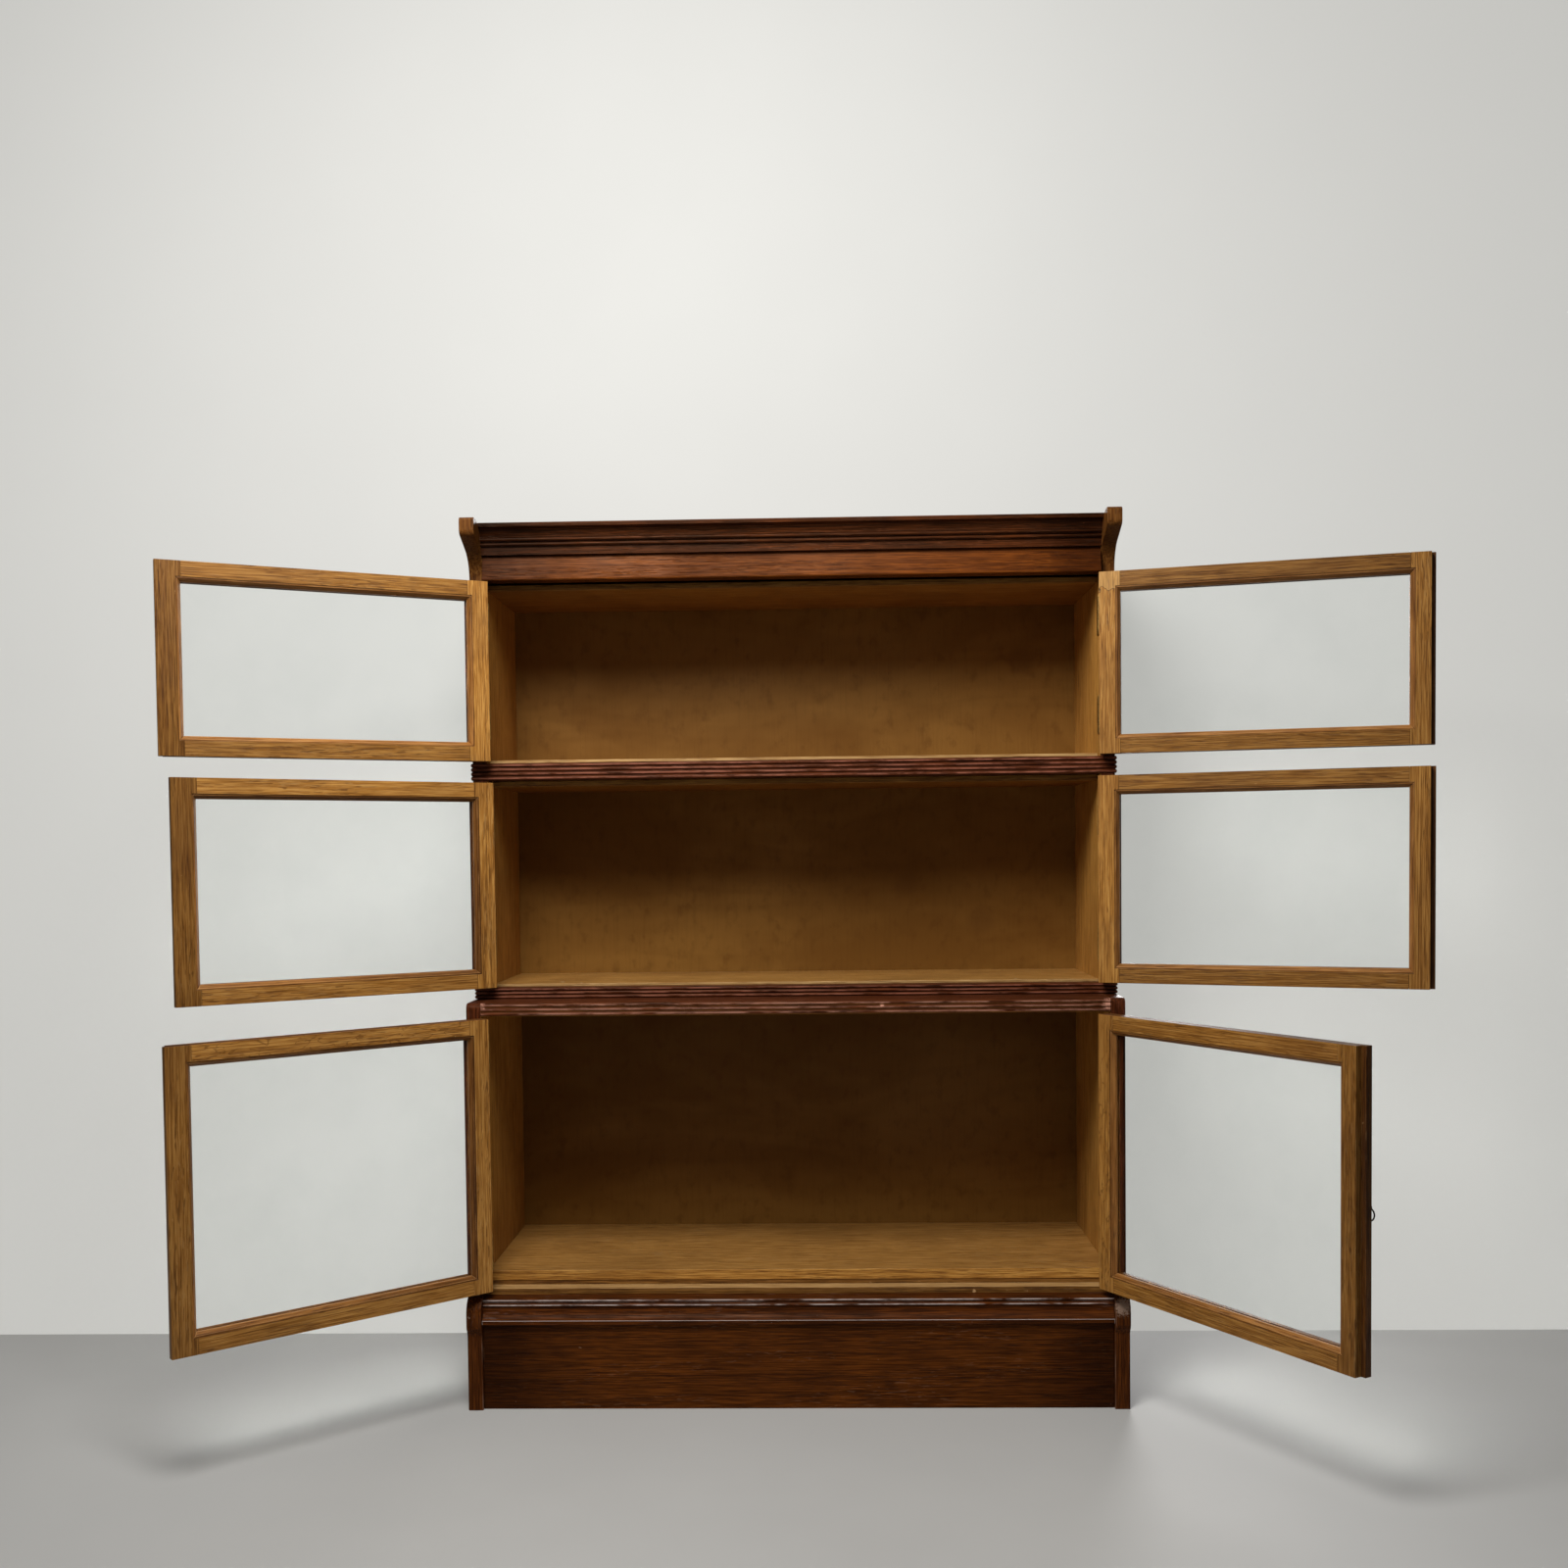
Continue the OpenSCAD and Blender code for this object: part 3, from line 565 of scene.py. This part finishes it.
def level_finish(front, rest):
    """A board with a front edge of its own."""
    def finish(centre, normal):
        return front if normal.y < -0.5 else rest
    return finish


def reed_wear_and_highlight(centre, normal, is_eased):
    """Reeds are rubbed along their crests, and in the grooves' edges less; the pale lines on the crests that
    face front or sideways are partly painted highlight.
    """
    crest = normal.z ** 2 < 0.12 and max(abs(normal.x), -normal.y) > 0.9
    return 0.86 if is_eased else 0.93 * crest


def lip_wear_and_highlight(centre, normal, is_eased):
    """The plinth moulding is rubbed bright along its lip and its two beads: partly wear, partly painted
    highlight on the faces turned to the front.
    """
    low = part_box("plinth_moulding")[0].z
    if centre.z < low + 0.006:
        return 1.25 * (is_eased and normal.y < -0.3 and normal.z > -0.3)
    bead = centre.z > low + 0.0225 and abs(normal.z) < 0.2 and normal.y < -0.9
    return 0.92 if bead else 0.0


def crown_wear_and_highlight(centre, normal, is_eased):
    """The crown is rubbed along the front-facing arrises of its beads: partly wear, partly painted highlight.
    """
    return 0.98 if is_eased and normal.y < -0.5 else 0.0


def end_wear_and_highlight(centre, normal, is_eased):
    """A plinth end is rubbed along its edges, a little more on the front one that faces the middle, where the
    paler line is partly painted highlight.
    """
    inner = abs(centre.x) < inner_x + 0.003
    front = normal.y < -0.2 or centre.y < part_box("plinth_fascia")[0].y
    return is_eased * (0.85 if inner and front else 0.79)


def lower_back_painted_shade(point, middle):
    """Painted shade: the lower compartment's back is darker than the other two, most of all towards its top,
    under the deep ledge.
    """
    low, high = (corner.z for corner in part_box("lower_back"))
    return 0.05 + 0.45 * (point.z - low) / (high - low)


for side in SIDES:
    for section in SECTIONS:
        case_piece(
            f"{section}_side_board_{side}", f"{section}_side_{side}", side_finish, "stained_oak", along=Z
        )
    case_piece(
        f"plinth_end_board_{side}", f"plinth_end_{side}", one(PLINTH_END), "plinth_stain", along=Z,
        rub=end_wear_and_highlight,
    )
    case_piece(f"cornice_scroll_{side}", f"cornice_end_{side}", one(SCROLL), "stained_oak", along=Z)

for section in SECTIONS:
    edge = SIDE if section == "lower" else RAW
    case_piece(f"{section}_floor_board", f"{section}_floor", level_finish(edge, FLOOR), "honey_oak", along=X)
    # The lower back panel gets painted shade, darker towards its top.
    case_piece(
        f"{section}_back_panel", f"{section}_back", one(PLY), "plywood", width=0.0005, along=X,
        shade=lower_back_painted_shade if section == "lower" else None,
    )
for section in ("middle", "upper"):
    case_piece(f"{section}_top_lining", f"{section}_top_board", one(LINING), "honey_oak", along=X)
    case_piece(
        f"{section}_reeded_band", f"{section}_band", one(STAINED), "stained_oak", width=0.0006, sharp=50,
        rub=reed_wear_and_highlight,
    )


def ledge_finish(centre, normal):
    """The ledge's underside is the lower section's golden ceiling."""
    return LINING if normal.z < -0.7 else LEDGE


def sill_finish(centre, normal):
    """The rail that the doors close over: bare on top, brown in front."""
    return RAW if normal.z > 0.7 else SILL


case_piece(
    "lower_ledge_board", "lower_ledge_top", ledge_finish, "stained_oak", width=0.0006, sharp=50, along=X,
    rub=reed_wear_and_highlight,
)
case_piece("lower_sill_rail", "lower_sill", sill_finish, "honey_oak", width=0.0006, along=X)
case_piece(
    "plinth_moulding_run", "plinth_moulding", one(PLINTH), "plinth_stain", width=0.0006, along=X, rub=lip_wear_and_highlight
)
case_piece("plinth_fascia_board", "plinth_fascia", one(FASCIA), "plinth_stain", along=X)
case_piece(
    "crown_moulding_run", "crown_moulding", one(CROWN), "stained_oak", width=0.0006, along=X, rub=crown_wear_and_highlight
)
case_piece("frieze_rail", "frieze_board", one(FRIEZE), "frieze_oak", width=0.0008, along=X)
case_piece("cornice_lid", "cornice_top_board", one(STAINED), "stained_oak", along=X)
case_piece("rear_rails", "back_rails", one(PLINTH), "plinth_stain", along=X)


# ---- The doors ----

joints = {j["child"]: j for j in frame["joints"]}


class Door:
    """A door's axes at rest: out runs from its hinge to its free edge, inner is the way its inside faces."""

    def __init__(self, section, side):
        self.section, self.side = section, side
        self.body = f"{section}_{side}_door"
        joint = joints[self.body]
        self.pivot = Vector(joint["pos_m"])
        opening = math.radians(-joint["range_deg"][0])
        sign = 1 if side == "right" else -1
        self.out = Vector((-sign * math.cos(opening), -math.sin(opening), 0))
        self.inner = Vector((-sign * math.sin(opening), math.cos(opening), 0))
        frame_points = [v.co for v in nodes[f"{self.body}_frame"].data.vertices]
        self.back = max((p - self.pivot).dot(self.inner) for p in frame_points)
        self.front = min((p - self.pivot).dot(self.inner) for p in frame_points)
        self.reach = max((p - self.pivot).dot(self.out) for p in frame_points)
        back_points = [p for p in frame_points if (p - self.pivot).dot(self.inner) > self.back - 0.001]
        self.shoulder = max((p - self.pivot).dot(self.out) for p in back_points)
        self.foot = min(p.z for p in frame_points)
        self.head = max(p.z for p in frame_points)

    def local(self, point):
        """A point as distances out from the pivot, towards the inside, and up from the door's foot."""
        p = point - self.pivot
        return p.dot(self.out), p.dot(self.inner), point.z - self.foot


def inner_finish(door, point):
    """The inner face's wood: mended by the upper right door's hinges, and wavy on two boards."""
    u, _, z = door.local(point)
    by_hinge = u < STILE_SHARE * door.reach
    on_a_rail = not by_hinge and u < (1 - STILE_SHARE) * door.reach
    on_top_rail = on_a_rail and z > 0.5 * (door.head - door.foot)
    if door.body == "upper_right_door" and by_hinge:
        return MENDED
    if (door.body == "lower_left_door" and on_top_rail) or (door.body == "lower_right_door" and by_hinge):
        return WAVY
    return HONEY


def door_finish(door):
    """Honey on the inner face, bare wood on the inner half of the free edge, and stain outside."""
    thickness = door.back - door.front

    def finish(centre, normal):
        depth = door.local(centre)[1] - door.front
        if normal.dot(door.inner) > 0.6:
            return inner_finish(door, centre) if depth > 0.92 * thickness else EDGE
        if abs(normal.z) > 0.6 or normal.dot(door.out) < -0.6:
            return EDGE
        if normal.dot(door.out) > 0.6 and door.local(centre)[0] > 0.9 * door.reach:
            return HONEY if depth > 0.5 * thickness else EDGE
        return STAINED
    return finish


def bead_tone_and_head_shade(door):
    """Beads are darker near the hinge and the head of the door, most of all on the middle and lower left; the
    darkening at the head is painted shade under the top rail.
    """
    if door.section == "upper":
        hinge_tone = 0.0
    else:
        hinge_tone = 0.9 if door.side == "left" else 0.35

    def shade(point, middle):
        u, _, z = door.local(point)
        near_hinge = 1 - min(1, max(0, (u - 0.026) / 0.010))
        near_head = min(1, max(0, (z - (door.head - door.foot) + 0.034) / 0.010))
        # Painted shade along the head, under the top rail
        return max(hinge_tone * near_hinge, 0.5 * near_head)
    return shade


# How dark the stain is on each board: hinge stile, free stile, top rail and bottom rail
board_tones = {
    ("upper", "left"): (0.0, 0.72, 0.38, 0.40),
    ("middle", "left"): (0.0, 0.68, 0.0, 0.0),
    ("lower", "left"): (0.1, 0.48, 0.0, 0.15),
    ("upper", "right"): (0.0, 0.33, 0.65, 0.50),
    ("middle", "right"): (0.0, 0.25, 0.48, 0.35),
    ("lower", "right"): (0.1, 0.58, 0.30, 0.30),
}


def board_tone_and_corner_shade(door):
    """Every stile and rail was cut from a board of its own tone, and the rebate's inner corner on the free
    edge is darkened with painted shade.
    """
    hinge_stile, free_stile, top_rail, bottom_rail = board_tones[door.section, door.side]
    half = 0.5 * (door.front + door.back)

    def shade(point, middle):
        u, depth, z = door.local(point)
        # Painted shade in the inner corner of the free edge's rebate
        if abs(u - door.shoulder) < 0.0015 and abs(depth - half) < 0.0015:
            return 0.7
        u, _, z = door.local(middle)
        if u < STILE_SHARE * door.reach:
            return hinge_stile
        if u > (1 - STILE_SHARE) * door.reach:
            return free_stile
        return top_rail if z > 0.5 * (door.head - door.foot) else bottom_rail
    return shade


def bead_wear_and_highlight(centre, normal, is_eased):
    """Beads are rubbed palest where they face up, beside the foot of the glass, and that paleness facing up
    is partly painted highlight.
    """
    return is_eased * (1.05 if normal.z > 0.3 else 0.84)


doors = {}
for section in SECTIONS:
    for side in SIDES:
        door = Door(section, side)
        doors[section, side] = door
        axes = (door.out, door.inner, Z)
        leaf = build(
            f"{door.body}_stiles_and_rails", f"{door.body}_frame", door_finish(door), width=0.0005,
            local=axes, shade=board_tone_and_corner_shade(door),
        )
        beads = build(
            f"{door.body}_glazing_beads", f"{door.body}_beads", one(BEAD), width=0.0004, local=axes,
            shade=bead_tone_and_head_shade(door), rub=bead_wear_and_highlight,
        )
        for piece, slot in ((leaf, "door_oak"), (beads, "bead_oak")):
            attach(piece, door.body)


# ---- Carried-over CAD nodes ----

def paint(node, material, smooth=30):
    nodes[node].data.materials.clear()
    nodes[node].data.materials.append(material)
    for polygon in nodes[node].data.polygons:
        polygon.use_smooth = True
    nodes[node].data.set_sharp_from_angle(angle=math.radians(smooth))


for door in doors.values():
    paint(f"{door.body}_glass", GLASS)
    paint(f"{door.body}_hinge_leaves", BRASS)
for section in SECTIONS:
    paint(f"{section}_right_pull_post", DARK_BRASS)
    paint(f"{section}_right_pull_ring", DARK_BRASS)
paint("case_hinge_leaves", BRASS)
paint("hinge_pins", BRASS)


# ---- Floor, wall and light ----

def plain(name, colour, rough):
    g = Graph(name)
    coords = g.node("ShaderNodeTexCoord").outputs["Object"]
    cloud = g.noise(coords, 1.3, 4.0, 0.6)
    tint = g.mix(g.ramp(cloud, 0.3, 0.7), colour, tuple(c * 0.93 for c in colour))
    g.set(Base_Color=tint, Roughness=rough)
    return g


def make_surroundings():
    """A pale floor, and a pale wall close behind the case.

    The wall shows only from its front, straight or through glass, and is clear to all other light,
    so that the back of the case can be seen and lit from behind.
    """
    wall_y = 0.03
    wall_top = 6.0
    reach = 9.0
    floor_mesh = bpy.data.meshes.new("floor")
    floor_mesh.from_pydata(
        [(-reach, -reach, 0), (reach, -reach, 0), (reach, reach, 0), (-reach, reach, 0)], [], [(0, 1, 2, 3)]
    )
    wall_mesh = bpy.data.meshes.new("wall")
    wall_mesh.from_pydata(
        [(-reach, wall_y, 0), (reach, wall_y, 0), (reach, wall_y, wall_top), (-reach, wall_y, wall_top)],
        [],
        [(0, 1, 2, 3)],
    )
    floor_paint = plain("floor_paint", (0.50, 0.49, 0.465), 0.6)
    floor_paint.set(Emission_Color=(1.0, 0.98, 0.94), Emission_Strength=0.05)
    floor_mesh.materials.append(floor_paint.material)
    g = plain("wall_paint", (0.25, 0.247, 0.235), 0.9)
    g.set(Emission_Color=(0.97, 0.965, 0.92), Emission_Strength=0.46)
    path = g.node("ShaderNodeLightPath")
    seen = g.math("MAXIMUM", path.outputs["Is Camera Ray"], path.outputs["Is Transmission Ray"])
    behind = g.node("ShaderNodeNewGeometry").outputs["Backfacing"]
    pick = g.node("ShaderNodeMixShader")
    g.feed(pick.inputs[0], g.math("MULTIPLY", seen, g.math("SUBTRACT", 1.0, behind)))
    g.feed(pick.inputs[1], g.node("ShaderNodeBsdfTransparent").outputs[0])
    g.feed(pick.inputs[2], g.shader.outputs[0])
    g.feed(g.out.inputs["Surface"], pick.outputs[0])
    wall_mesh.materials.append(g.material)
    for mesh in (floor_mesh, wall_mesh):
        thing = bpy.data.objects.new(mesh.name, mesh)
        bpy.context.scene.collection.objects.link(thing)


def make_light(name, place, target, size, power):
    data = bpy.data.lights.new(name, "AREA")
    data.shape = "DISK"
    data.size = size
    data.energy = power
    light = bpy.data.objects.new(name, data)
    light.location = place
    light.rotation_euler = (Vector(target) - Vector(place)).to_track_quat("-Z", "Y").to_euler()
    bpy.context.scene.collection.objects.link(light)


def make_world():
    """Pale to look at, straight or through glass, and dimmer as a light."""
    world = bpy.data.worlds.new("surroundings")
    world.use_nodes = True
    bpy.context.scene.world = world
    tree = world.node_tree
    background = tree.nodes["Background"]
    background.inputs["Color"].default_value = (1.0, 0.985, 0.95, 1)
    path = tree.nodes.new("ShaderNodeLightPath")
    seen = tree.nodes.new("ShaderNodeMath")
    seen.operation = "MAXIMUM"
    tree.links.new(path.outputs["Is Camera Ray"], seen.inputs[0])
    tree.links.new(path.outputs["Is Transmission Ray"], seen.inputs[1])
    level = tree.nodes.new("ShaderNodeMapRange")
    level.inputs["To Min"].default_value = 0.06
    level.inputs["To Max"].default_value = 0.62
    tree.links.new(seen.outputs[0], level.inputs["Value"])
    tree.links.new(level.outputs[0], background.inputs["Strength"])


make_surroundings()
make_light("key", (-0.30, -1.25, 1.9), (0, -0.1, 0.75), 0.8, 33)
make_light("fill", (-0.6, -4.4, 1.7), (0, -0.2, 0.6), 3.0, 6)
make_light("back", (0.8, 3.4, 1.5), (0, 0, 0.6), 2.0, 60)
make_world()
make_camera()
bpy.context.scene.view_settings.view_transform = "Standard"
